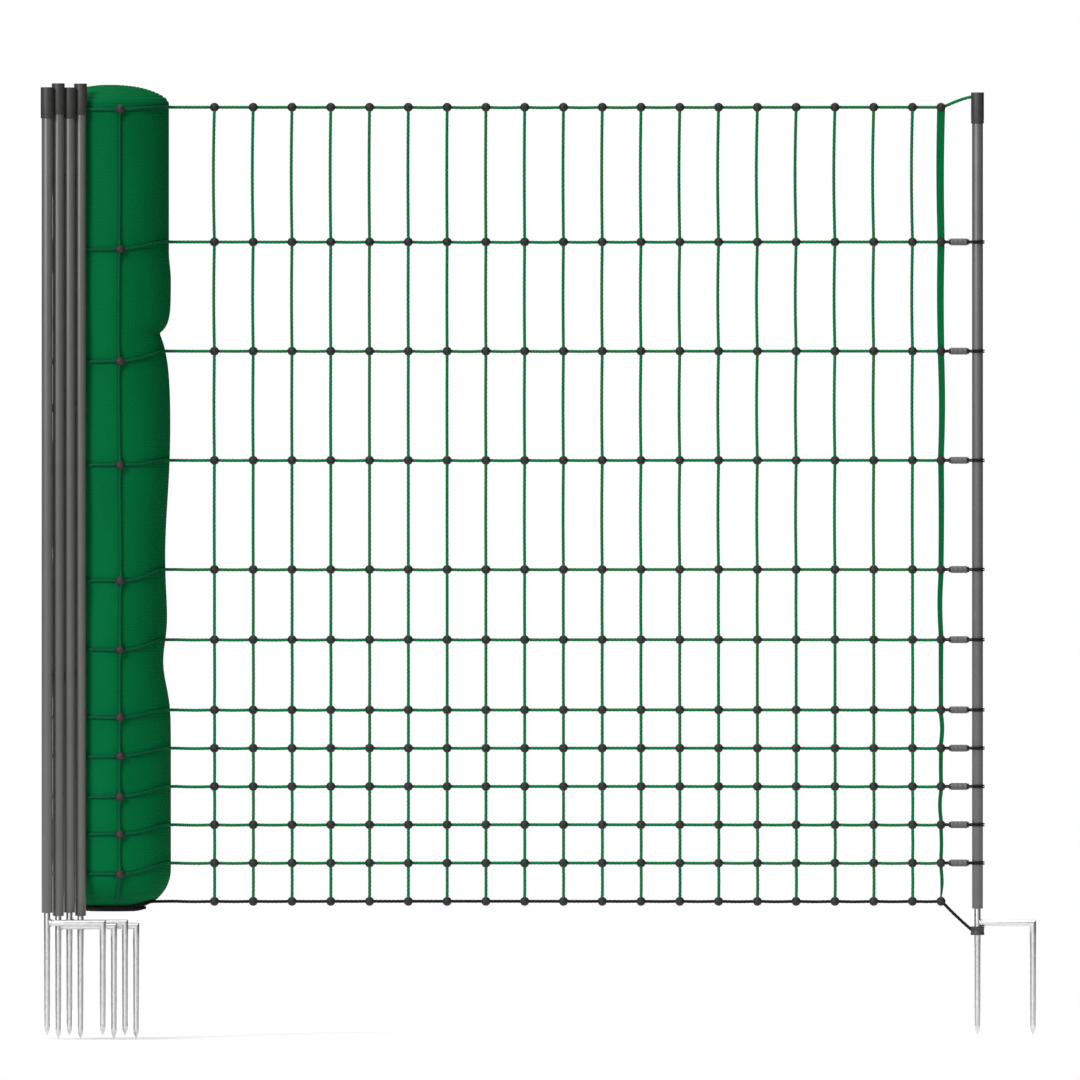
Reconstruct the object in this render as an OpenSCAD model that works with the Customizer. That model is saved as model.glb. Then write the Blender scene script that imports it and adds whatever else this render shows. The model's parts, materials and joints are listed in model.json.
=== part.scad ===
// Electric poultry net: a roll of netting with four stored posts beside it, and one open
// panel that runs to an end post on a double spike.
// X runs along the net towards the end post's side spike, Y to the back, Z up.
// The origin is on the end post's axis at soil level.

/* [Net] */
// Height of the black ground strand above the soil
ground_strand_z = 49; // [40:1:80]
// Height of each of the five small meshes
small_mesh = 54; // [40:1:70]
// Height of each of the two middle meshes
middle_mesh = 99; // [75:1:125]
// Height of each of the three large meshes
large_mesh = 154; // [120:1:190]
// Height of the top mesh
top_mesh = 190; // [150:1:230]
// Distance between two uprights
upright_pitch = 54.7; // [40:0.1:70]
// Number of thin uprights in the open panel
upright_count = 19; // [6:1:24]
// From the end post's axis to the end tape
tape_offset = 51.5; // [50:0.5:64]
// From the end tape to the nearest upright
end_mesh = 40.2; // [30:0.1:60]
// From the last upright to the fold where the net meets its roll
fold_mesh = 56.4; // [50:0.1:80]
// Diameter of every strand and upright
strand_d = 4.2; // [2.8:0.1:5.2]
// Diameter of a moulded knot
knot_d = 13; // [12:0.1:17]

/* [End tape] */
// Width of the tape at the top strand
tape_top_w = 11.4; // [8:0.2:11.6]
// Width of the tape at the ground strand
tape_foot_w = 4.6; // [3:0.2:7]
// Thickness of the tape
tape_t = 1.6; // [1:0.1:1.8]
// How far the tape wanders to either side between two knots
tape_bow = 1.6; // [0:0.1:3]

/* [Posts] */
// Outer diameter of a post tube
tube_d = 15.5; // [14:0.1:19]
// Wall of a post tube
tube_wall = 1.8; // [1.2:0.1:2]
// Wall of a cap around its tube
cap_wall = 1.3; // [1:0.1:2.4]
// Length of a cap
cap_length = 43.7; // [30:0.1:60]
// Solid head of a cap
cap_head = 12.5; // [10:0.5:20]
// Top of the end post's cap above the top strand
cap_rise = 21; // [18:0.5:40]
// Gap between the step and the end post's tube
tube_lift = 16; // [8:0.5:40]

/* [Spikes] */
// Diameter of the rod that makes the shank and the step
rod_d = 8.8; // [7.6:0.1:10.6]
// Shoulder where the rod is drawn down to a spike
spike_shoulder = 0.3; // [0.3:0.1:0.8]
// Depth of the spikes below the soil
spike_depth = 141; // [90:1:200]
// Length of a spike's point
point_length = 13; // [8:1:25]
// From the post's axis to the side spike's axis
step_reach = 78.3; // [60:0.1:120]
// Length of shank inside the tube
shank_grip = 60; // [40:1:120]
// Length of the plug that holds the shank in the tube
plug_length = 45; // [20:1:60]

/* [Ties] */
// Height of the ground ring on the end post's shank
ring_height = 12.1; // [8:0.1:20]
// Wall of the ground ring
ring_wall = 5; // [4.5:0.1:7]
// Height of the cord band in a post loop
band_h = 4.6; // [3:0.1:6]
// Thickness of the cord band in a post loop
band_t = 2.2; // [1.4:0.1:2.6]
// Diameter of a crimped sleeve
sleeve_d = 10; // [8.5:0.1:12]
// Length of a crimped sleeve
sleeve_length = 28.2; // [16:0.1:30]

/* [Roll] */
// Diameter of the rolled net
roll_d = 162; // [130:1:200]
// From the roll's surface to the fold
fold_stand_off = 10; // [8:0.5:30]
// Bottom of the roll below the ground strand
roll_drop = 9.5; // [4:0.5:20]
// Radius of the roll's lower edge
roll_edge = 40; // [20:1:60]
// Height of the dome on top of the roll
dome_rise = 27.5; // [10:0.5:50]

/* [Stored posts] */
// Sideways distance between two stored posts
post_pitch = 15.5; // [15:0.1:22]
// From the roll's axis to the right-hand post, sideways
post_inset = 40.2; // [30:0.1:60]
// Top of the first stored post above the end post's top
stored_rise = 5.6; // [0:0.1:12]
// Extra height of every second stored post's top
alternate_rise = 5.6; // [0:0.1:12]
// Extra depth of every second stored post's step
alternate_drop = 4.6; // [0:0.1:8]
// Height of a post clip
clip_height = 12; // [8:1:20]
// Wall of a post clip
clip_wall = 1.1; // [0.8:0.1:1.4]

/* [Fits] */
// Radial gap of the cap that turns on the end post's tube
running_gap = 0.08; // [0.02:0.01:0.1]
// Gap between pieces that are glued, crimped or moulded together
seat_gap = 0.05; // [0.02:0.01:0.1]
// Gap between pieces that move past each other
body_gap = 0.4; // [0.3:0.05:0.8]

/* [Hidden] */
$fn = 40;

// Radii
strand_r = strand_d / 2;
knot_r = knot_d / 2;
tube_r = tube_d / 2;
cap_r = tube_r + running_gap + cap_wall;
rod_r = rod_d / 2;
spike_r = rod_r - spike_shoulder;
roll_r = roll_d / 2;

// Strand heights, from the ground strand up
mesh_heights = [
    small_mesh, small_mesh, small_mesh, small_mesh, small_mesh,
    middle_mesh, middle_mesh, large_mesh, large_mesh, large_mesh, top_mesh
];
row_count = len(mesh_heights) + 1;
top_row = row_count - 1;
function row_z(row) = row == 0 ? ground_strand_z : row_z(row - 1) + mesh_heights[row - 1];

// Places along the panel
tape_x = -tape_offset;
first_upright_x = tape_x - end_mesh;
function upright_x(column) = first_upright_x - column * upright_pitch;
fold_x = upright_x(upright_count - 1) - fold_mesh;
fold_gap = strand_r + body_gap;

// Strands lie in the middle plane of the panel, uprights pass in front of them
cross_gap = 0.5;
upright_y = -(strand_d + cross_gap);
knot_y = upright_y / 2;
tape_y = -(strand_r + cross_gap + tape_t / 2);
upright_overrun = 1;

// End post
ring_foot = 1.4;
ring_bore_r = rod_r + body_gap;
ring_r = ring_bore_r + ring_wall;
step_z = ring_foot + ring_height + body_gap + rod_r;
cap_top = row_z(top_row) + cap_rise;
point_r = 0.6;
edge_cut = 0.8;

// Leads from the last knots to the end post
lead_depth = 3;
top_lead_z = cap_top - cap_head / 2;
top_lead_x = -(cap_r - lead_depth);
ground_lead_z = ring_foot + ring_height * 0.6;
ground_lead_x = -(ring_r - lead_depth);

// Post loops and their sleeves
loop_r = tube_r + body_gap + band_t / 2;
sleeve_near = loop_r + band_t / 2 + 1.6;
band_corner = band_t / 3;

// Roll
roll_x = fold_x - fold_stand_off - roll_r;
roll_foot = ground_strand_z - roll_drop;
dome_z = row_z(top_row) + strand_d;
wrap_gap = 0.3;
wrap_slack = 0.35;
wrap_cross_gap = 0.8;
wrap_r = roll_r + wrap_gap + strand_r;
wrap_upright_r = wrap_r + strand_d + wrap_cross_gap;
wrap_knot_r = (wrap_r + wrap_upright_r) / 2;
wrap_sag = [0, 15, 13, 14, 11, 10, 14, 16, 7, 15, 11, 4];
wrap_start = 20;
wrap_settled = 80;
wrap_end = 348;
ramp_steps = 8;
wrap_columns = [80, 150, 220, 290];
edge_centre_r = roll_r - roll_edge;
edge_centre_z = roll_foot + roll_edge;
edge_path = roll_edge + wrap_gap + strand_r;
ground_wrap_high = asin(min(0.98, (edge_centre_z - ground_strand_z) / edge_path));
ground_wrap_low = 64;
upright_foot_angle = 52;

// Stored posts
stored_count = 4;
post_stand_off = roll_r + wrap_gap + strand_d + cap_r + body_gap;
nearest_post_y = -sqrt(max(1, pow(post_stand_off, 2) - pow(post_inset, 2)));
cap_clear = 2 * cap_r + body_gap;
caps_step_y = sqrt(max(0, pow(cap_clear, 2) - pow(post_pitch, 2)));
post_step_y = max(caps_step_y, 2 * rod_r + body_gap);
stored_tube_lift = 10;
stored_lift = 1.5;
function is_alternate(i) = i % 2 == 1;
function post_x(i) = roll_x - post_inset - (stored_count - 1 - i) * post_pitch;
function post_y(i) = nearest_post_y - (stored_count - 1 - i) * post_step_y;
function post_drop(i) = stored_lift - (is_alternate(i) ? alternate_drop : 0);
function post_top(i) = cap_top + stored_rise + (is_alternate(i) ? alternate_rise : 0);

// Post clips
clip_rows = [5, 8, 10];
clip_bore_r = tube_r + body_gap;
clip_r = clip_bore_r + clip_wall;
clip_cover = 1.5;
clip_end = tube_r / 4;
clip_arm_w = 5;

post_grey = [0.43, 0.43, 0.42];
cap_grey = [0.28, 0.28, 0.27];
steel_grey = [0.78, 0.78, 0.78];
net_green = [0.0, 0.40, 0.21];
wrap_green = [0.0, 0.29, 0.18];
cord_black = [0.08, 0.08, 0.08];
knot_dark = [0.17, 0.16, 0.16];
knot_brown = [0.22, 0.15, 0.16];
sleeve_grey = [0.42, 0.42, 0.41];

function ease(t) = t * t * (3 - 2 * t);
function clamp01(t) = min(1, max(0, t));

// A straight round rod between two points
module rod_between(a, b, r) {
    run = b - a;
    length = norm(run);
    tilt = acos(run[2] / length);
    turn = atan2(run[1], run[0]);
    translate(a)
        rotate([0, tilt, turn])
        cylinder(r = r, h = length);
}

// A straight square channel between two points
module channel_between(a, b, w) {
    run = b - a;
    length = norm(run);
    tilt = acos(run[2] / length);
    turn = atan2(run[1], run[0]);
    translate(a)
        rotate([0, tilt, turn])
        translate([-w / 2, -w / 2, 0])
        cube([w, w, length]);
}

// Eight-sided tube swept along a list of points
tube_sides = 8;
function unit(v) = v / norm(v);
function along(p, i) = unit(p[min(i + 1, len(p) - 1)] - p[max(i - 1, 0)]);
function ring_side(t, hint) = unit(cross(t, hint));
function ring_points(p, i, r, hint) =
    let (t = along(p, i))
    let (u = ring_side(t, hint))
    let (v = cross(u, t))
    [for (s = [0 : tube_sides - 1])
        p[i] + r * (cos(360 * s / tube_sides) * u + sin(360 * s / tube_sides) * v)];

module swept_tube(p, r, hint) {
    rings = len(p);
    points = [for (i = [0 : rings - 1]) for (q = ring_points(p, i, r, hint)) q];
    side_a = [for (i = [0 : rings - 2]) for (s = [0 : tube_sides - 1])
        [i * tube_sides + s, (i + 1) * tube_sides + s, i * tube_sides + (s + 1) % tube_sides]];
    side_b = [for (i = [0 : rings - 2]) for (s = [0 : tube_sides - 1])
        [i * tube_sides + (s + 1) % tube_sides, (i + 1) * tube_sides + s,
            (i + 1) * tube_sides + (s + 1) % tube_sides]];
    first_cap = [[for (s = [0 : tube_sides - 1]) s]];
    last_cap = [[for (s = [tube_sides - 1 : -1 : 0]) (rings - 1) * tube_sides + s]];
    polyhedron(points = points, faces = concat(side_a, side_b, first_cap, last_cap));
}

// ---- One post: tube, cap, plug, ground spike and step spike ----

// Tube from its foot to its top
module post_tube(foot, top) {
    color(post_grey)
        rotate_extrude()
        translate([tube_r - tube_wall, 0])
        polygon([
            [0, foot], [tube_wall - edge_cut / 2, foot], [tube_wall, foot + edge_cut / 2],
            [tube_wall, top], [0, top]
        ]);
}

// Cap with a solid head, its bore a given gap wider than the tube
module post_cap(top, gap) {
    color(cap_grey)
        rotate_extrude()
        polygon([
            [0, top], [cap_r - edge_cut, top], [cap_r, top - edge_cut],
            [cap_r, top - cap_length + edge_cut], [cap_r - edge_cut, top - cap_length],
            [tube_r + gap, top - cap_length], [tube_r + gap, top - cap_head], [0, top - cap_head]
        ]);
}

// Plug that grips the shank in the tube's foot
module spike_plug(foot) {
    plug_r = tube_r - tube_wall - seat_gap;
    color(cap_grey)
        translate([0, 0, foot])
        difference() {
            cylinder(r = plug_r, h = plug_length);
            translate([0, 0, -1])
                cylinder(r = rod_r + seat_gap, h = plug_length + 2);
        }
}

// Straight rod: shank in the tube, drawn-down spike below the soil line
module ground_spike(soil, top) {
    color(steel_grey)
        rotate_extrude()
        polygon([
            [0, soil - spike_depth], [point_r, soil - spike_depth],
            [spike_r, soil - spike_depth + point_length], [spike_r, soil],
            [rod_r, soil], [rod_r, top - edge_cut], [rod_r - edge_cut, top], [0, top]
        ]);
}

// Rod that hangs from a corner and is cut there at 45 degrees
module mitred_rod(length) {
    cut = 4 * rod_r;
    difference() {
        translate([0, 0, -length])
            cylinder(r = rod_r, h = length + 2 * rod_r);
        rotate([0, -45, 0])
            translate([-cut, -cut, 0])
            cube([2 * cut, 2 * cut, cut]);
    }
}

// Step welded to the shank, with the side spike at its end
module step_spike(soil) {
    level = soil + step_z;
    color(steel_grey)
        union() {
            difference() {
                translate([step_reach, 0, level])
                    mirror([1, 0, -1])
                    mitred_rod(step_reach);
                translate([0, 0, level - 2 * rod_r])
                    cylinder(r = rod_r + seat_gap, h = 4 * rod_r);
            }
            translate([step_reach, 0, level])
                mitred_rod(step_z);
            translate([step_reach, 0, 0])
                rotate_extrude()
                polygon([
                    [0, soil - spike_depth], [point_r, soil - spike_depth],
                    [spike_r, soil - spike_depth + point_length], [spike_r, soil], [0, soil]
                ]);
        }
}

end_tube_foot = step_z + rod_r + tube_lift;

module end_tube() post_tube(end_tube_foot, cap_top - cap_head - body_gap);
module end_spike_plug() spike_plug(end_tube_foot);
module end_ground_spike() ground_spike(0, end_tube_foot + shank_grip);
module end_step_spike() step_spike(0);

// ---- Stored posts ----

function stored_foot(i) = post_drop(i) + step_z + rod_r + stored_tube_lift;

module at_post(i) translate([post_x(i), post_y(i), 0]) children();

module stored_tube(i) at_post(i) post_tube(stored_foot(i), post_top(i) - cap_head - seat_gap);
module stored_cap(i) at_post(i) post_cap(post_top(i), seat_gap);
module stored_plug(i) at_post(i) spike_plug(stored_foot(i));
module stored_ground_spike(i) at_post(i) ground_spike(post_drop(i), stored_foot(i) + shank_grip);
module stored_step_spike(i) at_post(i) step_spike(post_drop(i));

// ---- Open panel ----

tape_end = [tape_x, 0, row_z(top_row)];
top_lead_end = [top_lead_x, 0, top_lead_z];
ground_knot = [tape_x, 0, row_z(0)];
ground_lead_end = [ground_lead_x, 0, ground_lead_z];

module strand(row) {
    color(row == 0 ? cord_black : net_green)
        rod_between([fold_x + fold_gap, 0, row_z(row)], [tape_x, 0, row_z(row)], strand_r);
}

module uprights() {
    for (column = [0 : upright_count - 1])
        color(net_green)
            translate([upright_x(column), upright_y, row_z(0) - upright_overrun])
            cylinder(r = strand_r, h = row_z(top_row) - row_z(0) + 2 * upright_overrun);
}

// Square channel for the strand through a knot, from its left side to a stop on its right
channel_w = strand_d + 2 * seat_gap;
knot_reach = knot_r + 1;
module strand_channel(x, row, stop) {
    translate([x - knot_reach, -channel_w / 2, row_z(row) - channel_w / 2])
        cube([knot_reach + stop, channel_w, channel_w]);
}

// How far an upright's channel runs below and above a knot's centre
upright_stop = upright_overrun + seat_gap;
function channel_below(row) = row == 0 ? upright_stop : knot_reach;
function channel_above(row) = row == top_row ? upright_stop : knot_reach;

// One moulded knot around a crossing
module knot(column, row) {
    x = upright_x(column);
    color(knot_dark)
        difference() {
            translate([x, knot_y, row_z(row)])
                sphere(r = knot_r);
            strand_channel(x, row, knot_reach);
            translate([x - channel_w / 2, upright_y - channel_w / 2, row_z(row) - channel_below(row)])
                cube([channel_w, channel_w, channel_below(row) + channel_above(row)]);
        }
}

module knots() {
    for (column = [0 : upright_count - 1])
        for (row = [0 : top_row])
            knot(column, row);
}

// The tape narrows from the top strand down and wanders a little between knots
tape_point = 24;
tape_samples = 6;
tape_slack = 0.4;
function tape_share(z) = (z - row_z(0)) / (row_z(top_row) - row_z(0));
function tape_w(z) =
    (tape_foot_w + (tape_top_w - tape_foot_w) * tape_share(z))
        * (0.35 + 0.65 * clamp01((z - row_z(0)) / tape_point));
function tape_wander(row, t) = tape_bow * sin(180 * t) * sin(97 * row + 60);
tape_line = [
    [tape_x, row_z(0)],
    for (row = [0 : top_row - 1]) for (s = [0 : tape_samples])
        let (t = s / tape_samples)
        let (z = row_z(row) + knot_r + t * (mesh_heights[row] - knot_d))
        [tape_x + tape_wander(row, t), z],
    [tape_x, row_z(top_row) + upright_overrun]
];

module end_tape() {
    right = [for (p = tape_line) [p[0] + tape_w(p[1]) / 2, p[1]]];
    left = [for (i = [len(tape_line) - 1 : -1 : 0])
        [tape_line[i][0] - tape_w(tape_line[i][1]) / 2, tape_line[i][1]]];
    color(net_green)
        translate([0, tape_y + tape_t / 2, 0])
        rotate([90, 0, 0])
        linear_extrude(tape_t)
        polygon(concat(right, left));
}

// Slot for the tape in one end knot
module tape_slot(row) {
    slot_w = tape_w(row_z(row) + knot_r) + tape_slack;
    below = row == 0 ? seat_gap : knot_reach;
    translate([tape_x - slot_w / 2, tape_y - tape_t / 2 - seat_gap, row_z(row) - below])
        cube([slot_w, tape_t + 2 * seat_gap, below + channel_above(row)]);
}

module end_knot(row) {
    color(knot_dark)
        difference() {
            translate([tape_x, knot_y, row_z(row)])
                sphere(r = knot_r);
            strand_channel(tape_x, row, seat_gap);
            tape_slot(row);
            if (row == 0)
                channel_between(ground_knot, ground_lead_end, channel_w);
            else if (row == top_row)
                channel_between(tape_end, top_lead_end, channel_w);
            else
                translate([tape_x, -band_t / 2 - seat_gap, row_z(row) - band_h / 2 - seat_gap])
                    cube([knot_reach, band_t + 2 * seat_gap, band_h + 2 * seat_gap]);
        }
}

module end_knots() {
    for (row = [0 : top_row])
        end_knot(row);
}

// The leads start past the strand's end, inside the last knot
lead_start = strand_d;
function lead_from(knot_point, end_point) =
    knot_point + lead_start * unit(end_point - knot_point);

module top_lead() {
    color(net_green)
        rod_between(lead_from(tape_end, top_lead_end), top_lead_end, strand_r);
}

module ground_lead() {
    color(cord_black)
        rod_between(lead_from(ground_knot, ground_lead_end), ground_lead_end, strand_r);
}

// Cap that the top lead holds, so the end post turns inside it
module end_cap() {
    color(cap_grey)
        difference() {
            post_cap(cap_top, running_gap);
            rod_between(tape_end, top_lead_end + seat_gap * unit(top_lead_end - tape_end),
                strand_r + seat_gap);
        }
}

module ground_ring() {
    color(cap_grey)
        difference() {
            rotate_extrude()
                polygon([
                    [ring_bore_r, ring_foot], [ring_r - edge_cut, ring_foot],
                    [ring_r, ring_foot + edge_cut], [ring_r, ring_foot + ring_height - edge_cut],
                    [ring_r - edge_cut, ring_foot + ring_height],
                    [ring_bore_r, ring_foot + ring_height]
                ]);
            rod_between(ground_knot,
                ground_lead_end + seat_gap * unit(ground_lead_end - ground_knot),
                strand_r + seat_gap);
        }
}

// Flat cord section with its corners cut, a given gap larger all round
module band_section(gap) {
    h = band_h / 2 + gap;
    w = band_t / 2 + gap;
    polygon([
        [-w, -h + band_corner], [-w + band_corner, -h], [w - band_corner, -h],
        [w, -h + band_corner], [w, h - band_corner], [w - band_corner, h],
        [-w + band_corner, h], [-w, h - band_corner]
    ]);
}

// Straight end of a loop, through its sleeve and into the knot
module loop_lead(row, gap) {
    reach = tape_offset - strand_r - loop_r;
    translate([-loop_r, 0, row_z(row)])
        rotate([0, -90, 0])
        rotate([0, 0, 90])
        linear_extrude(reach + gap)
        band_section(gap);
}

module post_loop(row) {
    color(cord_black)
        union() {
            translate([0, 0, row_z(row)])
                rotate_extrude()
                translate([loop_r, 0])
                band_section(0);
            loop_lead(row, 0);
        }
}

module post_loops() {
    for (row = [1 : top_row - 1])
        post_loop(row);
}

module loop_sleeve(row) {
    color(sleeve_grey)
        difference() {
            translate([-sleeve_near, 0, row_z(row)])
                rotate([0, -90, 0])
                rotate_extrude()
                polygon([
                    [0, 0], [sleeve_d / 2 - edge_cut, 0], [sleeve_d / 2, edge_cut],
                    [sleeve_d / 2, sleeve_length - edge_cut],
                    [sleeve_d / 2 - edge_cut, sleeve_length], [0, sleeve_length]
                ]);
            loop_lead(row, seat_gap);
        }
}

module loop_sleeves() {
    for (row = [1 : top_row - 1])
        loop_sleeve(row);
}

// ---- Roll ----

edge_steps = 9;
dome_steps = 14;

module rolled_net() {
    lower_edge = [for (i = [0 : edge_steps])
        let (a = -90 + 90 * i / edge_steps)
        [edge_centre_r + roll_edge * cos(a), edge_centre_z + roll_edge * sin(a)]];
    dome = [for (i = [0 : dome_steps - 1])
        let (a = 90 * i / dome_steps)
        [roll_r * cos(a), dome_z + dome_rise * sin(a)]];
    color(net_green)
        translate([roll_x, 0, 0])
        rotate_extrude()
        polygon(concat([[0, roll_foot]], lower_edge, dome, [[0, dome_z + dome_rise]]));
}

// A point on the roll: angle 0 faces the fold and grows past the front
function around(r, a, z) = [roll_x + r * cos(a), -r * sin(a), z];
function settled(a) = ease(clamp01((a - wrap_start) / (wrap_settled - wrap_start)));
function wrap_z(row, a) = row_z(row) - wrap_sag[row] * settled(a);
function ground_wrap_angle(a) =
    ground_wrap_high + (ground_wrap_low - ground_wrap_high) * settled(a);
function edge_r(path, e) = edge_centre_r + path * cos(e);
function edge_z(path, e) = edge_centre_z - path * sin(e);
function wrap_point(row, a) =
    row == 0
        ? around(edge_r(edge_path, ground_wrap_angle(a)), a, edge_z(edge_path, ground_wrap_angle(a)))
        : around(wrap_r, a, wrap_z(row, a));

// Short double bend from the fold on to the roll's surface
fold_steps = 6;
fold_pull = 7;
roll_pull = 14;
function bezier(a, b, c, d, t) =
    pow(1 - t, 3) * a + 3 * pow(1 - t, 2) * t * b + 3 * (1 - t) * t * t * c + pow(t, 3) * d;
function fold_bend(row) =
    let (start = [fold_x - fold_gap, 0, row_z(row)])
    let (landing = wrap_point(row, wrap_start))
    let (back = [sin(wrap_start), cos(wrap_start), 0])
    [for (i = [0 : fold_steps - 1])
        bezier(start, start - [fold_pull, 0, 0], landing + roll_pull * back, landing,
            i / fold_steps)];
function fold_path(row) = concat(
    fold_bend(row),
    [for (i = [0 : ramp_steps])
        wrap_point(row, wrap_start + (wrap_settled - wrap_start) * i / ramp_steps)]
);

module fold_strand(row) swept_tube(fold_path(row), strand_r, [0, 0, 1]);

module fold_strands() {
    for (row = [1 : top_row])
        color(wrap_green) fold_strand(row);
}

module fold_ground_strand() color(cord_black) fold_strand(0);

// The rest of a wrap lies level round the roll, from the first upright on
settled_gap = 0.5;
module wrap_strand(row) {
    p = wrap_point(row, wrap_settled);
    r = norm([p[0] - roll_x, p[1]]);
    translate([roll_x, 0, p[2]])
        rotate([0, 0, -wrap_end])
        rotate_extrude(angle = wrap_end - wrap_settled - settled_gap)
        translate([r, 0])
        circle(r = strand_r);
}

module wrap_strands() {
    for (row = [1 : top_row])
        color(wrap_green) wrap_strand(row);
}

module wrap_ground_strand() color(cord_black) wrap_strand(0);

// Upright on the roll: straight down the side, then in under the lower edge
foot_steps = 5;
upright_edge_path = roll_edge + wrap_upright_r - roll_r;
function wrap_upright_path(a) = concat(
    [around(wrap_upright_r, a, wrap_z(top_row, a) + upright_overrun)],
    [for (i = [0 : foot_steps])
        let (e = upright_foot_angle * i / foot_steps)
        around(edge_r(upright_edge_path, e), a, edge_z(upright_edge_path, e))]
);

module wrap_uprights() {
    for (a = wrap_columns)
        color(wrap_green)
            swept_tube(wrap_upright_path(a), strand_r, [sin(a), cos(a), 0]);
}

// Knot on the roll, flat where it lies against it
module wrap_knot(a, row) {
    wrap_w = strand_d + 2 * wrap_slack;
    color(knot_brown)
        translate([roll_x, 0, wrap_z(row, a)])
        rotate([0, 0, -a])
        difference() {
            translate([wrap_knot_r, 0, 0])
                rotate([0, 90, 0])
                sphere(r = knot_r);
            translate([roll_r + seat_gap - 2 * knot_reach, -knot_reach, -knot_reach])
                cube(2 * knot_reach);
            translate([wrap_r - wrap_w / 2, -knot_reach, -wrap_w / 2])
                cube([wrap_w, 2 * knot_reach, wrap_w]);
            translate([wrap_upright_r - channel_w / 2, -channel_w / 2, -knot_reach])
                cube([channel_w, channel_w, knot_reach + channel_above(row)]);
        }
}

module wrap_knots() {
    for (a = wrap_columns)
        for (row = [1 : top_row])
            wrap_knot(a, row);
}

// One clip holds all four stored tubes in a row of grooves and stands on the roll
// between two strands. It stops behind the first tube
module post_clip(gap_below) {
    z = (row_z(gap_below) + row_z(gap_below + 1) - clip_height) / 2 - wrap_sag[gap_below] / 2;
    last = stored_count - 1;
    row_run = [post_x(last) - post_x(0), post_y(last) - post_y(0)];
    arm_turn = atan2(-post_y(last), roll_x - post_x(last));
    color(cap_grey)
        difference() {
            union() {
                translate([post_x(0), post_y(0), z])
                    rotate([0, 0, atan2(row_run[1], row_run[0])])
                    translate([-clip_end, -clip_cover, 0])
                    cube([norm(row_run) + clip_end + clip_r, clip_r + clip_cover, clip_height]);
                translate([post_x(last), post_y(last), z])
                    rotate([0, 0, arm_turn])
                    translate([0, -clip_arm_w / 2, 0])
                    cube([post_stand_off - roll_r + 2, clip_arm_w, clip_height]);
            }
            for (i = [0 : last])
                translate([post_x(i), post_y(i), z - 1])
                    cylinder(r = clip_bore_r, h = clip_height + 2);
            translate([roll_x, 0, z - 1])
                cylinder(r = roll_r + seat_gap, h = clip_height + 2);
        }
}

end_tube();
end_spike_plug();
end_ground_spike();
end_step_spike();
end_cap();
strand(0);  // strand_ground
strand(1);  // strand_02
strand(2);  // strand_03
strand(3);  // strand_04
strand(4);  // strand_05
strand(5);  // strand_06
strand(6);  // strand_07
strand(7);  // strand_08
strand(8);  // strand_09
strand(9);  // strand_10
strand(10);  // strand_11
strand(11);  // strand_top
uprights();
end_tape();
knots();
end_knots();
top_lead();
ground_lead();
ground_ring();
post_loops();
loop_sleeves();
rolled_net();
fold_strands();
fold_ground_strand();
wrap_strands();
wrap_ground_strand();
wrap_uprights();
wrap_knots();
post_clip(clip_rows[0]);  // post_clip_lower
post_clip(clip_rows[1]);  // post_clip_middle
post_clip(clip_rows[2]);  // post_clip_upper
stored_tube(0);  // post_1_tube
stored_cap(0);  // post_1_cap
stored_plug(0);  // post_1_spike_plug
stored_ground_spike(0);  // post_1_ground_spike
stored_step_spike(0);  // post_1_step_spike
stored_tube(1);  // post_2_tube
stored_cap(1);  // post_2_cap
stored_plug(1);  // post_2_spike_plug
stored_ground_spike(1);  // post_2_ground_spike
stored_step_spike(1);  // post_2_step_spike
stored_tube(2);  // post_3_tube
stored_cap(2);  // post_3_cap
stored_plug(2);  // post_3_spike_plug
stored_ground_spike(2);  // post_3_ground_spike
stored_step_spike(2);  // post_3_step_spike
stored_tube(3);  // post_4_tube
stored_cap(3);  // post_4_cap
stored_plug(3);  // post_4_spike_plug
stored_ground_spike(3);  // post_4_ground_spike
stored_step_spike(3);  // post_4_step_spike
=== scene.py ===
import json
import math

import bmesh
import bpy
import numpy as np
from mathutils import Matrix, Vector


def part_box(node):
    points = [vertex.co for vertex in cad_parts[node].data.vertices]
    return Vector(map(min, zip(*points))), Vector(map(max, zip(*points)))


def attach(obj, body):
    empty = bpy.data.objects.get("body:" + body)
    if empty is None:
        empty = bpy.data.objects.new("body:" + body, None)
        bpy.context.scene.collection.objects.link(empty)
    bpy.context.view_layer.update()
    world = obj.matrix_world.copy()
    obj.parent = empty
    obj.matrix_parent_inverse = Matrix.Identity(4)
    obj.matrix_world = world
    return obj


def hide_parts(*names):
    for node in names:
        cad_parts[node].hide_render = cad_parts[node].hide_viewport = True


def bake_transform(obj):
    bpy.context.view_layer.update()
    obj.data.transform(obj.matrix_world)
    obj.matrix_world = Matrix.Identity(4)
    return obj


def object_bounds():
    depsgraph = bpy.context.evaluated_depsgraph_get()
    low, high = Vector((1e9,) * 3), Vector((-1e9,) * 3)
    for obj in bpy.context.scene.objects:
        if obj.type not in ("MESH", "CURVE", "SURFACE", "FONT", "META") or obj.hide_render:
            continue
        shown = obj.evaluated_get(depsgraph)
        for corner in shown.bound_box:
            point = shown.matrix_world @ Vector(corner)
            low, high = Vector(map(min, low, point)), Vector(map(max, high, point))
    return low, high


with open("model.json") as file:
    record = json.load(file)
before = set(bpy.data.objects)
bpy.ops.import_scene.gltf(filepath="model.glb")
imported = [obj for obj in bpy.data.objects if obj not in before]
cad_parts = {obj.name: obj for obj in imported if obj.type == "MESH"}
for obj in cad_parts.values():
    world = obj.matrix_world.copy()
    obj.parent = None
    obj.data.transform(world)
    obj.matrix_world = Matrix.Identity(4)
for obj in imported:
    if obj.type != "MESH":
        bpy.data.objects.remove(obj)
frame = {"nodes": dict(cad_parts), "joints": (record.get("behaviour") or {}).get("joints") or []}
cad_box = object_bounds()

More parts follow.
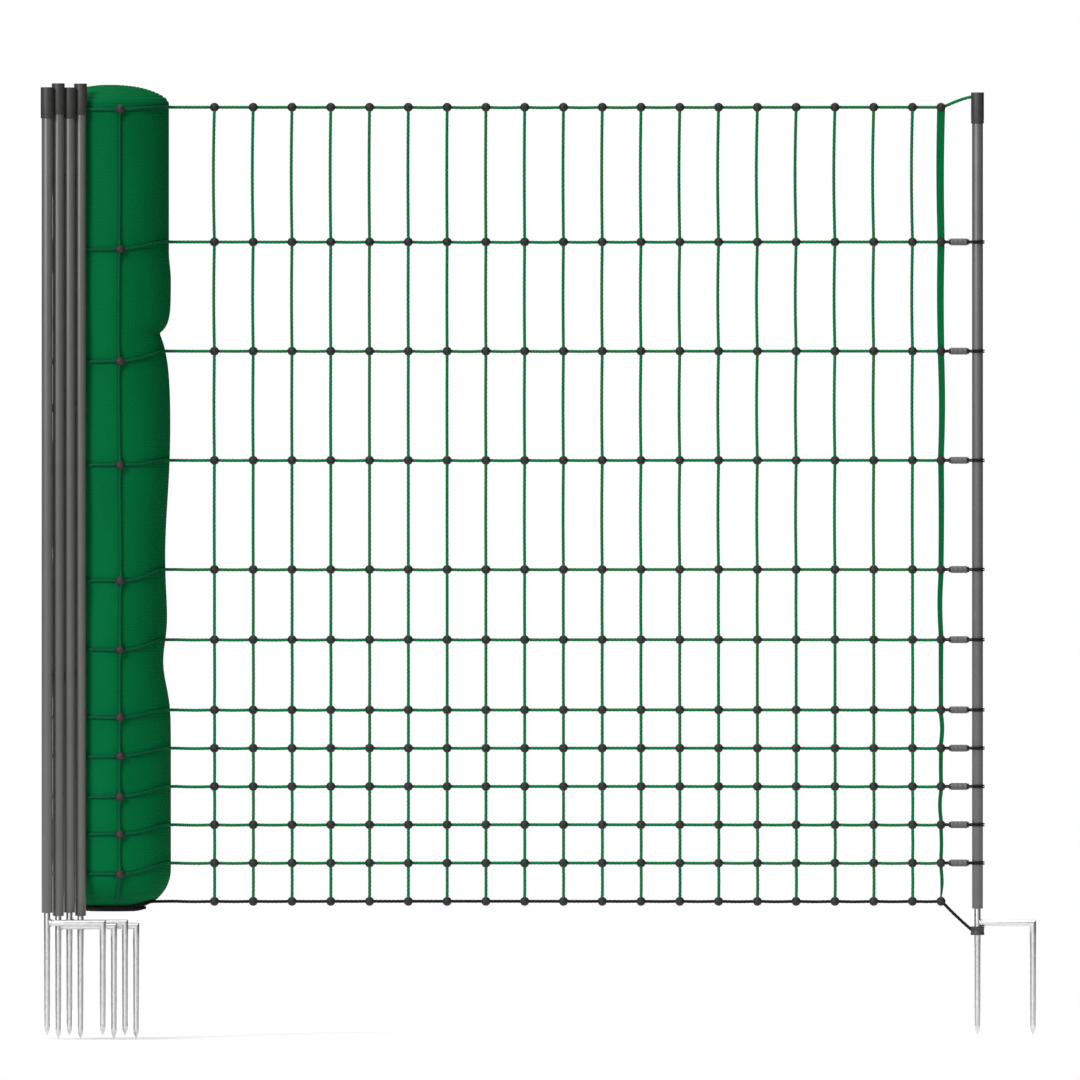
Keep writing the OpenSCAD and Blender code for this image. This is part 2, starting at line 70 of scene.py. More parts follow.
# Poultry net, partly unrolled: ropes, knots and tape of the open panel, the roll with its
# outermost layer, and five posts on double spikes. All sizes are in metres.

MM = 0.001


def middle(node, axis):
    low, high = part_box(node)
    return (low[axis] + high[axis]) / 2


def half_size(node, axis):
    low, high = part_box(node)
    return (high[axis] - low[axis]) / 2


# ---- Places from the frame ----

STRANDS = ["strand_ground"] + ["strand_%02d" % row for row in range(2, 12)] + ["strand_top"]
ROW_Z = [middle(node, 2) for node in STRANDS]
TOP_ROW = len(STRANDS) - 1
ROPE_R = half_size("strand_top", 2)

FOLD_X = next(j["pos_m"][0] for j in frame["joints"] if j["name"] == "roll_swing")
TAPE_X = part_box("strand_top")[1][0]
UPRIGHT_Y = middle("uprights", 1)
UPRIGHT_COUNT = 19
UPRIGHT_X = np.linspace(
    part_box("uprights")[1][0] - ROPE_R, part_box("uprights")[0][0] + ROPE_R, UPRIGHT_COUNT
)
UPRIGHT_OVERRUN = 1 * MM
KNOT_Y = UPRIGHT_Y / 2
KNOT_R = half_size("end_knots", 0)
TAPE_Y = middle("end_tape", 1)
TAPE_T = 2 * half_size("end_tape", 1)

ROLL_X = middle("rolled_net", 0)
ROLL_R = half_size("rolled_net", 1)
ROLL_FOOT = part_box("rolled_net")[0][2]
ROLL_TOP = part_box("rolled_net")[1][2]
ROLL_EDGE = 55 * MM
DOME_RISE = 27.5 * MM
DOME_Z = ROLL_TOP - DOME_RISE
EDGE_Z = ROLL_FOOT + ROLL_EDGE
WRAP_GAP = 0.3 * MM
WRAP_UPRIGHT_OFF = 7.4 * MM
WRAP_KNOT_OFF = 4.9 * MM
WRAP_SAG = [s * MM for s in (0, 15, 13, 14, 11, 10, 14, 16, 7, 15, 11, 4)]
WRAP_START, WRAP_SETTLED = math.radians(20), math.radians(80)
WRAP_DIVE, WRAP_END = math.radians(318), math.radians(348)
WRAP_COLUMNS = [math.radians(a) for a in (80, 150, 220, 290)]
GROUND_EDGE_LOW = math.radians(67)
UPRIGHT_FOOT_ANGLE = math.radians(52)

POSTS = ["post_1", "post_2", "post_3", "post_4"]
TUBE_R = half_size("end_tube", 0)
TUBE_WALL = 1.8 * MM
CAP_R = half_size("post_1_cap", 0)
CAP_HEAD = 12.5 * MM
ROD_R = half_size("post_1_ground_spike", 0)
SPIKE_R = ROD_R - 0.3 * MM
STEP_REACH = middle("end_step_spike", 0) + half_size("end_step_spike", 0) - ROD_R
STEP_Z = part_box("end_step_spike")[1][2] - ROD_R
SPIKE_DEPTH = -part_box("end_step_spike")[0][2]
POINT_LENGTH = 13 * MM
# Each rod narrows over this length below the soil, and is round again this far above its foot
TAPER = 25 * MM
ROUND_FROM = 1.1 * POINT_LENGTH


# ---- Small helpers ----

def ease(t):
    t = np.clip(t, 0, 1)
    return t * t * (3 - 2 * t)


def vary(*keys):
    """A fixed number from -1 to 1 that differs from one set of keys to the next."""
    return math.sin(sum((i * 37.7 + 12.9) * k for i, k in enumerate(keys, 1)) + 0.7)


def resampled(points, step):
    """The same line with its points evenly spaced."""
    p = np.asarray(points, float)
    along = np.concatenate([[0], np.cumsum(np.linalg.norm(np.diff(p, axis=0), axis=1))])
    count = max(2, int(round(along[-1] / step)) + 1)
    at = np.linspace(0, along[-1], count)
    return np.stack([np.interp(at, along, p[:, k]) for k in range(3)], axis=1)


def bezier(a, b, c, d, steps):
    t = np.linspace(0, 1, steps)[:, None]
    a, b, c, d = (np.asarray(q, float) for q in (a, b, c, d))
    return (1 - t) ** 3 * a + 3 * (1 - t) ** 2 * t * b + 3 * (1 - t) * t ** 2 * c + t ** 3 * d


def mesh_piece(name, points, faces, uvs, smooth=True):
    """A new piece from points, faces and one UV pair for each face corner."""
    mesh = bpy.data.meshes.new(name)
    mesh.from_pydata(points, [], faces)
    layer = mesh.uv_layers.new(name="along")
    layer.data.foreach_set("uv", np.asarray(uvs, np.float32).ravel())
    mesh.polygons.foreach_set("use_smooth", [smooth] * len(mesh.polygons))
    mesh.update()
    piece = bpy.data.objects.new(name, mesh)
    bpy.context.scene.collection.objects.link(piece)
    return piece


def swept(name, path, radii, up, lay=None, start=0.0):
    """A tube along a path. radii go round its section, which turns once in each lay."""
    p = np.asarray(path, float)
    rings, sides = len(p), len(radii)
    steps = np.linalg.norm(np.diff(p, axis=0), axis=1)
    along = start + np.concatenate([[0], np.cumsum(steps)])
    t = np.gradient(p, axis=0)
    t /= np.linalg.norm(t, axis=1)[:, None]
    u = np.cross(t, np.asarray(up, float))
    u /= np.linalg.norm(u, axis=1)[:, None]
    v = np.cross(u, t)
    turn = 2 * math.pi * along / lay if lay else np.zeros(rings)
    angle = turn[:, None] + 2 * math.pi * np.arange(sides)[None, :] / sides
    r = np.asarray(radii, float)[None, :]
    points = (
        p[:, None, :]
        + (r * np.cos(angle))[..., None] * u[:, None, :]
        + (r * np.sin(angle))[..., None] * v[:, None, :]
    ).reshape(-1, 3)
    i, k = np.meshgrid(np.arange(rings - 1), np.arange(sides), indexing="ij")
    i, k = i.ravel(), k.ravel()
    nxt = (k + 1) % sides
    quads = np.stack(
        [i * sides + k, (i + 1) * sides + k, (i + 1) * sides + nxt, i * sides + nxt], axis=1
    )
    near, far = k / sides, (k + 1) / sides
    uv = np.stack([near, along[i], near, along[i + 1], far, along[i + 1], far, along[i]], axis=1)
    ends = [list(range(sides)), list(range(rings * sides - 1, (rings - 1) * sides - 1, -1))]
    end_uv = [[0.5, along[0]]] * sides + [[0.5, along[-1]]] * sides
    uvs = np.concatenate([uv.reshape(-1, 2), np.array(end_uv)])
    return mesh_piece(name, points, quads.tolist() + ends, uvs)


def joined(name, parts):
    """One piece out of several."""
    bpy.ops.object.select_all(action="DESELECT")
    for part in parts:
        part.select_set(True)
    bpy.context.view_layer.objects.active = parts[0]
    if len(parts) > 1:
        bpy.ops.object.join()
    piece = bpy.context.view_layer.objects.active
    piece.name = name
    piece.data.name = name
    return piece


def primitive(kind, **sizes):
    bpy.ops.object.select_all(action="DESELECT")
    getattr(bpy.ops.mesh, "primitive_%s_add" % kind)(**sizes)
    return bpy.context.view_layer.objects.active


def alone(piece):
    """Selects this piece and nothing else."""
    bpy.ops.object.select_all(action="DESELECT")
    piece.select_set(True)
    bpy.context.view_layer.objects.active = piece


def settle(piece):
    """Puts the piece's place into its mesh."""
    alone(piece)
    bpy.ops.object.transform_apply(location=True, rotation=True, scale=True)


def open_edit(piece, kind="FACE"):
    alone(piece)
    bpy.ops.object.mode_set(mode="EDIT")
    bpy.ops.mesh.select_mode(type=kind)
    bpy.ops.mesh.select_all(action="DESELECT")


def close_edit():
    bpy.ops.object.mode_set(mode="OBJECT")


def pick_faces(piece, test):
    cage = bmesh.from_edit_mesh(piece.data)
    for face in cage.faces:
        face.select_set(bool(test(face.calc_center_median(), face.normal)))
    bmesh.update_edit_mesh(piece.data)


def pick_verts(piece, test):
    cage = bmesh.from_edit_mesh(piece.data)
    for vert in cage.verts:
        vert.select_set(bool(test(vert.co)))
    cage.select_flush_mode()
    bmesh.update_edit_mesh(piece.data)


def cut(place, normal, **options):
    """Cuts all of the piece in edit mode along a plane."""
    bpy.ops.mesh.select_all(action="SELECT")
    bpy.ops.mesh.bisect(plane_co=place, plane_no=normal, **options)


def bevelled(piece, width, segments=2, angle=40):
    """Rounds the sharp edges and smooths the rest."""
    bevel = piece.modifiers.new("edges", "BEVEL")
    bevel.width = width
    bevel.segments = segments
    bevel.limit_method = "ANGLE"
    bevel.angle_limit = math.radians(angle)
    alone(piece)
    bpy.ops.object.modifier_apply(modifier=bevel.name)
    bpy.ops.object.shade_smooth_by_angle(angle=math.radians(35))
    return piece


def copied(piece, name, move):
    """A copy with its own mesh, moved in its mesh."""
    copy = piece.copy()
    copy.data = piece.data.copy()
    copy.name = name
    copy.data.name = name
    bpy.context.scene.collection.objects.link(copy)
    points = np.empty(len(copy.data.vertices) * 3)
    copy.data.vertices.foreach_get("co", points)
    points = (points.reshape(-1, 3) + np.asarray(move, float)).ravel()
    copy.data.vertices.foreach_set("co", points)
    copy.data.update()
    return copy


# ---- Shaders ----

class Value:
    """A number on a socket. Arithmetic on it adds Math nodes."""

    def __init__(self, shader, socket):
        self.shader = shader
        self.socket = socket

    def math(self, operation, *values):
        return self.shader.node("ShaderNodeMath", {"operation": operation}, dict(enumerate(values)))

    def __add__(self, other):
        return self.math("ADD", self, other)

    def __sub__(self, other):
        return self.math("SUBTRACT", self, other)

    def __rsub__(self, other):
        return self.math("SUBTRACT", other, self)

    def __mul__(self, other):
        return self.math("MULTIPLY", self, other)

    __radd__ = __add__
    __rmul__ = __mul__

    def sine(self):
        return self.math("SINE", self)

    def size(self):
        return self.math("ABSOLUTE", self)

    def fraction(self):
        return self.math("FRACT", self)

    def above(self, low, high):
        """0 below low, 1 above high, and a smooth step between them."""
        return self.shader.node(
            "ShaderNodeMapRange", {"interpolation_type": "SMOOTHSTEP"}, {0: self, 1: low, 2: high}
        )


def paint(red, green, blue):
    """A colour chart value from 0 to 255 as the light that it reflects."""
    def light(c):
        c /= 255
        return c / 12.92 if c <= 0.04045 else ((c + 0.055) / 1.055) ** 2.4
    return (light(red), light(green), light(blue), 1.0)


class Shader:
    """One material and its nodes."""

    def __init__(self, name, **constants):
        self.material = bpy.data.materials.new(name)
        self.material.use_nodes = True
        self.tree = self.material.node_tree
        self.surface = self.tree.nodes["Principled BSDF"]
        for socket, value in constants.items():
            self.surface.inputs[socket.replace("_", " ")].default_value = value

    def node(self, kind, settings=None, inputs=None, output=0):
        made = self.tree.nodes.new(kind)
        for key, value in (settings or {}).items():
            setattr(made, key, value)
        for key, value in (inputs or {}).items():
            self.feed(made.inputs[key], value)
        return Value(self, made.outputs[output])

    def feed(self, socket, value):
        if isinstance(value, Value):
            self.tree.links.new(value.socket, socket)
        else:
            socket.default_value = value

    def place(self, stretch=(1, 1, 1), source="Object"):
        """Object coordinates, or the piece's own UV map, each axis times its stretch."""
        raw = self.node("ShaderNodeTexCoord", output=source)
        return self.node("ShaderNodeMapping", {}, {"Vector": raw, "Scale": stretch})

    def axis(self, where, name):
        return self.node("ShaderNodeSeparateXYZ", {}, {0: where}, output=name)

    def noise(self, where, scale, detail):
        return self.node("ShaderNodeTexNoise", {}, {"Vector": where, "Scale": scale, "Detail": detail})

    def cells(self, where, scale):
        return self.node("ShaderNodeTexVoronoi", {}, {"Vector": where, "Scale": scale}, output="Color")

    def mix(self, factor, first, second):
        made = {0: factor, 6: first, 7: second}
        return self.node("ShaderNodeMix", {"data_type": "RGBA"}, made, output=2)

    def bump(self, height, distance):
        return self.node("ShaderNodeBump", {}, {"Height": height, "Distance": distance})

    def finish(self, **inputs):
        for socket, value in inputs.items():
            self.feed(self.surface.inputs[socket.replace("_", " ")], value)
        return self.material


def extruded_plastic():
    """Grey post tube: fine draw marks along it, a little mottling, faint scuffs."""
    s = Shader("extruded grey plastic", Specular_IOR_Level=0.45)
    marks = s.noise(s.place((900, 900, 5)), 1.0, 4.0)
    cloud = s.noise(s.place(), 24.0, 3.0)
    scuffs = s.noise(s.place((160, 160, 30)), 3.0, 6.0).above(0.62, 0.72)
    tone = s.mix(marks * 0.5 + cloud * 0.5, paint(70, 70, 69), paint(92, 92, 90))
    tone = s.mix(scuffs * 0.3, tone, paint(108, 108, 105))
    height = marks * 0.6 + scuffs * 0.4
    return s.finish(
        Base_Color=tone, Roughness=0.32 + marks * 0.12 + scuffs * 0.1,
        Normal=s.bump(height, 0.00006),
    )


def moulded_plastic(name, dark, light, grain=0.00003, gloss=0.4):
    """Matt moulding with an eroded grain and slightly uneven colour."""
    s = Shader(name, Specular_IOR_Level=gloss)
    grains = s.noise(s.place(), 1700.0, 2.0)
    cloud = s.noise(s.place(), 60.0, 4.0)
    tone = s.mix(cloud, dark, light)
    return s.finish(
        Base_Color=tone, Roughness=0.6 - 0.4 * gloss + grains * 0.16, Normal=s.bump(grains, grain),
    )


def galvanised_steel():
    """Bright zinc: soft spangle, fine scratches along it, duller patches."""
    s = Shader("bright galvanised steel", Metallic=1.0)
    spangle = s.cells(s.place((1, 1, 0.6)), 420.0)
    spangle = s.node("ShaderNodeRGBToBW", {}, {0: spangle})
    cloud = s.noise(s.place(), 90.0, 5.0)
    scratches = s.noise(s.place((1500, 1500, 60)), 1.0, 5.0)
    tone = s.mix(spangle * 0.5 + cloud * 0.5, paint(194, 193, 195), paint(228, 227, 228))
    return s.finish(
        Base_Color=tone, Roughness=0.17 + cloud * 0.08 + scratches * 0.05,
        Normal=s.bump(scratches * 0.7 + spangle * 0.3, 0.000005),
    )


def rope_finish(name, dark, light, shade):
    """Twisted polythene with fine fibres, and painted shade in the grooves between its plies.
    The length that lies on the roll is painted darker, as painted shade of the roll."""
    s = Shader(name, Specular_IOR_Level=0.08)
    across = s.axis(s.place((1, 1, 1), "UV"), "X")
    fibres = s.noise(s.place((60, 900, 1), "UV"), 1.0, 3.0)
    cloud = s.noise(s.place(), 35.0, 3.0)
    tone = s.mix(fibres * 0.6 + cloud * 0.4, dark, light)
    groove = ((across * 3.0).fraction() - 0.5).size()
    # Painted shade: the middle of each groove between the plies is darkened towards the shade colour.
    tone = s.mix((0.5 - groove).above(0.36, 0.5) * 0.25, tone, shade)
    west = 0.0 - s.axis(s.place(), "X")
    # Painted shade: the length left of the roll's right side, which lies on the roll, is darkened towards
    # the shade colour.
    tone = s.mix(west.above(-ROLL_X - ROLL_R - 6 * MM, -ROLL_X - ROLL_R + 8 * MM) * 0.85, tone, shade)
    return s.finish(
        Base_Color=tone, Roughness=0.55 + fibres * 0.2, Normal=s.bump(fibres, 0.0001),
    )


def woven_tape():
    """Flat woven tape: lengthways threads crossed by closer ones."""
    s = Shader("green woven tape", Specular_IOR_Level=0.05)
    where = s.place((1, 1, 1), "UV")
    warp = (s.axis(where, "X") * (2 * math.pi * 11)).sine()
    weft = (s.axis(where, "Y") * (2 * math.pi / (1.5 * MM))).sine()
    weave = warp * weft
    cloud = s.noise(s.place(), 40.0, 4.0)
    tone = s.mix(cloud * 0.6 + (weave * 0.5 + 0.5) * 0.4, paint(0, 82, 42), paint(3, 104, 54))
    return s.finish(
        Base_Color=tone, Roughness=0.55 + cloud * 0.2, Normal=s.bump(weave, 0.00016),
    )


def braided_cord():
    """Black round braid."""
    s = Shader("black braided cord", Specular_IOR_Level=0.2)
    where = s.place((1, 1, 1), "UV")
    around = s.axis(where, "X") * (2 * math.pi * 4)
    along = s.axis(where, "Y") * (2 * math.pi / (2.4 * MM))
    braid = (around + along).sine() * (around - along).sine()
    tone = s.mix(braid * 0.5 + 0.5, paint(10, 9, 9), paint(28, 27, 26))
    return s.finish(Base_Color=tone, Roughness=0.62 + braid * 0.08, Normal=s.bump(braid, 0.00015))


def crimped_metal():
    """Dark grey sleeve with faint tool marks round it and black ends."""
    s = Shader("grey crimped metal", Metallic=0.6)
    centre, half = middle("loop_sleeves", 0), half_size("loop_sleeves", 0)
    ends = (s.axis(s.place(), "X") - centre).size().above(half - 3.4 * MM, half - 2.4 * MM)
    rings = s.noise(s.place((1600, 30, 30)), 1.0, 2.0)
    cloud = s.noise(s.place(), 120.0, 3.0)
    tone = s.mix(rings * 0.4 + cloud * 0.6, paint(76, 76, 74), paint(98, 98, 96))
    return s.finish(
        Base_Color=s.mix(ends, tone, paint(26, 26, 25)), Roughness=0.4 + cloud * 0.14,
        Normal=s.bump(rings, 0.00002),
    )


def packed_netting():
    """Outer face of the tightly rolled net: fine strands lying close, mostly round the roll."""
    s = Shader("rolled green netting", Specular_IOR_Level=0.03)
    where = s.place((1, 1, 1), "UV")
    level = s.axis(where, "Y") * (2 * math.pi / (4.4 * MM))
    slant = s.axis(where, "X") * (2 * math.pi / (5.2 * MM))
    drift = s.noise(s.place((14, 14, 40)), 1.0, 2.0) * 9.0
    courses = (level + drift).sine()
    ribs = (slant + drift).sine()
    lay = courses * 0.65 + ribs * 0.35
    fuzz = s.noise(s.place((300, 300, 500)), 1.0, 4.0)
    cloud = s.noise(s.place((1, 1, 0.5)), 16.0, 4.0)
    # The lay term darkens the troughs between the packed strands a little: painted shade in their
    # crevices. Cloud and fuzz vary the tone at random.
    tone = s.mix(cloud * 0.6 + fuzz * 0.25 + lay * 0.08, paint(0, 80, 42), paint(1, 100, 52))
    height = lay * 0.5 + fuzz * 0.5
    return s.finish(
        Base_Color=tone, Roughness=0.65 + fuzz * 0.2, Normal=s.bump(height, 0.00028),
    )


def floor_paint():
    s = Shader("pale floor", Roughness=0.9, Specular_IOR_Level=0.1)
    cloud = s.noise(s.place(), 0.8, 2.0)
    return s.finish(Base_Color=s.mix(cloud, paint(243, 243, 243), paint(247, 247, 247)))


KNOT_GRAIN, KNOT_GLOSS = 0.00008, 0.25
# The third green is painted shade, for the strands' ply grooves and for their length on the roll.
GREEN_DARK, GREEN_LIGHT, GREEN_PAINTED_SHADE = paint(0, 92, 46), paint(0, 112, 56), paint(0, 70, 44)
FINISHES = {
    "post_plastic": extruded_plastic(),
    "cap_plastic": moulded_plastic("dark grey moulded plastic", paint(38, 38, 37), paint(52, 52, 50)),
    "galvanised_steel": galvanised_steel(),
    "green_strand": rope_finish("green twisted strand", GREEN_DARK, GREEN_LIGHT, GREEN_PAINTED_SHADE),
    # The black strand's third colour is painted shade, for its ply grooves and its length on the roll.
    "black_strand": rope_finish(
        "black twisted strand", paint(14, 14, 13), paint(28, 27, 26), paint(8, 8, 8)
    ),
    "green_tape": woven_tape(),
    "knot_plastic": moulded_plastic(
        "black moulded knot", paint(24, 25, 24), paint(38, 38, 37), KNOT_GRAIN, KNOT_GLOSS
    ),
    "black_cord": braided_cord(),
    "sleeve_metal": crimped_metal(),
    "rolled_netting": packed_netting(),
    "clip_plastic": moulded_plastic("dark clip plastic", paint(40, 40, 39), paint(54, 54, 52)),
}
ROLL_KNOT_FINISH = moulded_plastic(
    "brown black knot", paint(38, 30, 32), paint(56, 44, 47), KNOT_GRAIN, KNOT_GLOSS
)


def dressed(piece, slot, body, *stands_for, finish=None):
    """Gives a piece its finish, its body and the nodes that it stands for."""
    piece.data.materials.clear()
    piece.data.materials.append(finish or FINISHES[slot])
    if body:
        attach(piece, body)
    if stands_for:
        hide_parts(*stands_for)
    return piece


# ---- Camera, light and floor ----

def camera():
    """Straight front view with almost no perspective."""
    data = bpy.data.cameras.new("camera")
    data.sensor_width = 36
    data.lens = 1000
    view_width = 1.5234
    distance = view_width * data.lens / data.sensor_width
    data.clip_start = 0.1
    data.clip_end = 2 * distance
    eye = bpy.data.objects.new("camera", data)
    eye.location = (-0.6171, -distance, 0.5586)
    eye.rotation_euler = (math.pi / 2, 0, 0)
    bpy.context.scene.collection.objects.link(eye)
    bpy.context.scene.camera = eye


def sun(name, strength, softness, azimuth, elevation):
    """A soft distant light. Azimuth 0 shines from the front, and grows to the right."""
    data = bpy.data.lights.new(name, "SUN")
    data.energy = strength
    data.angle = math.radians(softness)
    lamp = bpy.data.objects.new(name, data)
    lamp.rotation_euler = (math.radians(90 - elevation), 0, math.radians(azimuth))
    bpy.context.scene.collection.objects.link(lamp)


def studio():
    """White backdrop. The light is soft, and strongest from the front and a little left."""
    sun("key", 2.5, 22, -34, 24)
    sun("top", 2.1, 60, 0, 89)
    sun("back", 0.7, 50, 205, 45)
    world = bpy.data.worlds.new("studio")
    world.use_nodes = True
    bpy.context.scene.world = world
    tree = world.node_tree
    tree.nodes.clear()

    def made(kind, settings, *values):
        node = tree.nodes.new(kind)
        for key, value in settings.items():
            setattr(node, key, value)
        for socket, value in zip(node.inputs, values):
            if isinstance(value, bpy.types.NodeSocket):
                tree.links.new(value, socket)
            else:
                socket.default_value = value
        return node

    way = made("ShaderNodeTexCoord", {}).outputs["Generated"]
    facing = made("ShaderNodeVectorMath", {"operation": "DOT_PRODUCT"}, way, (-0.2, -0.96, 0.18))
    front = made("ShaderNodeMath", {"operation": "MAXIMUM"}, facing.outputs["Value"], 0.0)
    focus = made("ShaderNodeMath", {"operation": "POWER"}, front.outputs[0], 3.0)
    glow = made("ShaderNodeMath", {"operation": "MULTIPLY_ADD"}, focus.outputs[0], 1.0, 0.09)
    surround = made("ShaderNodeBackground", {}, (0.98, 0.99, 1.0, 1.0), glow.outputs[0])
    backdrop = made("ShaderNodeBackground", {}, (1.0, 1.0, 1.0, 1.0), 1.0)
    seen = made("ShaderNodeLightPath", {}).outputs["Is Camera Ray"]
    choice = made("ShaderNodeMixShader", {}, seen, surround.outputs[0], backdrop.outputs[0])
    made("ShaderNodeOutputWorld", {}, choice.outputs[0])
    bpy.context.scene.view_settings.view_transform = "Standard"


def floor():
    low, high = cad_box
    centre = ((low[0] + high[0]) / 2, (low[1] + high[1]) / 2)
    disc = primitive(
        "circle", vertices=96, radius=2.6, fill_type="NGON", location=(*centre, low[2] - 0.2 * MM)
    )
    disc.name = "floor"
    settle(disc)
    disc.data.materials.append(floor_paint())


# ---- Ropes of the open panel and the roll's outermost layer ----

# Three round plies side by side, seen as the radii round one twisted section
PLIES = [ROPE_R * share for share in (1.1, 1.07, 0.95, 1.07)] * 3
ROPE_LAY = 18 * MM
ROPE_STEP = 1.8 * MM

# The roll is fullest at its foot. Waists on its right side, as height, depth and reach,
# and one sharp fold that eases off faster above than below
ROLL_FULL = 86 * MM - ROLL_R
WAISTS = [(535 * MM, 8 * MM, 110 * MM), (384 * MM, 9.5 * MM, 44 * MM)]
FOLD_Z, FOLD_DEPTH, FOLD_ABOVE, FOLD_BELOW = 850 * MM, 16 * MM, 12 * MM, 35 * MM
NECK_DEPTH, NECK_Z = 2.8 * MM, 945 * MM
BULGE_SPREAD = math.radians(40)


def from_right(a):
    """How far an angle round the roll is from its right-hand side."""
    return np.abs((a + math.pi) % (2 * math.pi) - math.pi)


def roll_surface(a, z):
    """Radius of the rolled net at an angle and a height. Angle 0 is on the right, 90 in front."""
    a, z = np.asarray(a, float), np.asarray(z, float)
    bulge = ROLL_FULL - NECK_DEPTH * ease((z - NECK_Z) / (40 * MM) + 0.5)
    for height, depth, reach in WAISTS:
        bulge = bulge - depth * np.exp(-(((z - height) / reach) ** 2))
    eases_off = np.where(z > FOLD_Z, FOLD_ABOVE, FOLD_BELOW)
    bulge = bulge - FOLD_DEPTH * np.exp(-np.abs(z - FOLD_Z) / eases_off)
    near = np.exp(-((from_right(a) / BULGE_SPREAD) ** 2))
    slack = 0.7 * MM * np.sin(3 * a + 9 * z) + 0.5 * MM * np.sin(5 * a - 23 * z + 1)
    fold = 0.5 * MM * np.sin(2 * a + 41 * z + 2 * np.sin(13 * z))
    return ROLL_R + bulge * near + (slack + fold) * (1 - near)


def around(r, a, z):
    """A point on or near the roll."""
    r, a, z = np.broadcast_arrays(r, a, z)
    return np.stack([ROLL_X + r * np.cos(a), -r * np.sin(a), z], axis=-1)


def under_edge(off, a, e):
    """A point off the roll's rounded lower edge, e down from level."""
    core = roll_surface(a, EDGE_Z) - ROLL_EDGE
    return around(core + (ROLL_EDGE + off) * np.cos(e), a, EDGE_Z - (ROLL_EDGE + off) * np.sin(e))


def settled(a):
    return ease((a - WRAP_START) / (WRAP_SETTLED - WRAP_START))


ROPE_OFF = ROPE_R + WRAP_GAP


def wrap_line(row):
    """A green strand round the roll, which dives under the next layer at its end."""
    a = np.linspace(WRAP_START, WRAP_END, 500)
    z = ROW_Z[row] - WRAP_SAG[row] * settled(a) + 0.6 * MM * np.sin(4 * a + row) * settled(a)
    dive = 5.5 * MM * ease((a - WRAP_DIVE) / (WRAP_END - WRAP_DIVE))
    return around(roll_surface(a, z) + ROPE_OFF - dive, a, z)


def ground_line():
    """The black strand: from the lower edge, turn by turn under it and across the underside."""
    high = math.asin((EDGE_Z - ROW_Z[0]) / (ROLL_EDGE + ROPE_OFF))
    turn_gap = 2 * ROPE_R + 0.7 * MM
    turns = (math.pi / 2 - GROUND_EDGE_LOW) * (ROLL_EDGE + ROPE_OFF) / turn_gap
    a = WRAP_START + np.linspace(0, 2 * math.pi * turns, int(300 * turns))
    e = GROUND_EDGE_LOW + (math.pi / 2 - GROUND_EDGE_LOW) * (a - WRAP_START) / (a[-1] - WRAP_START)
    e = e - (GROUND_EDGE_LOW - high) * (1 - ease((a - WRAP_START) / (0.5 * WRAP_SETTLED)))
    edge = under_edge(ROPE_OFF, a, e)
    begin = math.hypot(edge[-1][0] - ROLL_X, edge[-1][1])
    inner = 3
    b = np.linspace(0, 2 * math.pi * inner, 200 * inner)[1:]
    flat = around(begin - turn_gap * b / (2 * math.pi), a[-1] + b, edge[-1][2])
    return np.concatenate([edge, flat])


def panel_line(row):
    """A strand from the end knot to the fold, hanging very slightly between its knots."""
    stops = np.concatenate([[TAPE_X], UPRIGHT_X, [FOLD_X + 2 * MM]])
    points = []
    for mesh, (a, b) in enumerate(zip(stops[:-1], stops[1:])):
        t = np.linspace(0, 1, 24, endpoint=False)
        sag = (0.35 + 0.35 * vary(row, mesh)) * MM * np.sin(math.pi * t)
        points.append(np.stack([a + (b - a) * t, 0 * t, ROW_Z[row] - sag], axis=1))
    return np.concatenate(points)


def strand_line(row):
    """The whole length of one strand."""
    on_roll = ground_line() if row == 0 else wrap_line(row)
    landing = on_roll[0]
    pull = 13 * MM
    back = np.array([math.sin(WRAP_START), math.cos(WRAP_START), 0])
    start = np.array([FOLD_X + 2 * MM, 0, ROW_Z[row]])
    bend = bezier(start, start - [9 * MM, 0, 0], landing + pull * back, landing, 60)
    return np.concatenate([panel_line(row), bend[:-1], on_roll])


def strands():
    for row, node in enumerate(STRANDS):
        slot = "black_strand" if row == 0 else "green_strand"
        path = resampled(strand_line(row), ROPE_STEP)
        rope = swept(node.replace("strand", "rope"), path, PLIES, (0, 0, 1), ROPE_LAY, row * 0.37)
        dressed(rope, slot, None)
        FOLD_X + 11 * MM
        FOLD_X - 2.5 * MM
        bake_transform(rope)
        if row == 0:
            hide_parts(node, "fold_ground_strand", "wrap_ground_strand")
        elif row == TOP_ROW:
            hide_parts(node, "fold_strands", "wrap_strands")
        else:
            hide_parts(node)


def upright_line(column):
    """A thin upright, bowed a little one way or the other in each mesh."""
    points = [[UPRIGHT_X[column], UPRIGHT_Y, ROW_Z[0] - UPRIGHT_OVERRUN]]
    for row in range(TOP_ROW):
        low, high = ROW_Z[row], ROW_Z[row + 1]
        bow = (high - low) / 0.16 * MM * (0.9 * vary(row, 2) + 0.5 * vary(column, row))
        for t in np.linspace(0, 1, 16, endpoint=False):
            x = UPRIGHT_X[column] + bow * math.sin(math.pi * t)
            points.append([x, UPRIGHT_Y, low + (high - low) * t])
    points.append([UPRIGHT_X[column], UPRIGHT_Y, ROW_Z[TOP_ROW] + UPRIGHT_OVERRUN])
    return points


def uprights():
    for column in range(UPRIGHT_COUNT):
        path = resampled(upright_line(column), ROPE_STEP)
        rope = swept("upright_%02d" % (column + 1), path, PLIES, (0, 1, 0), ROPE_LAY, column * 1.31)
        dressed(rope, "green_strand", "net_panel", "uprights")


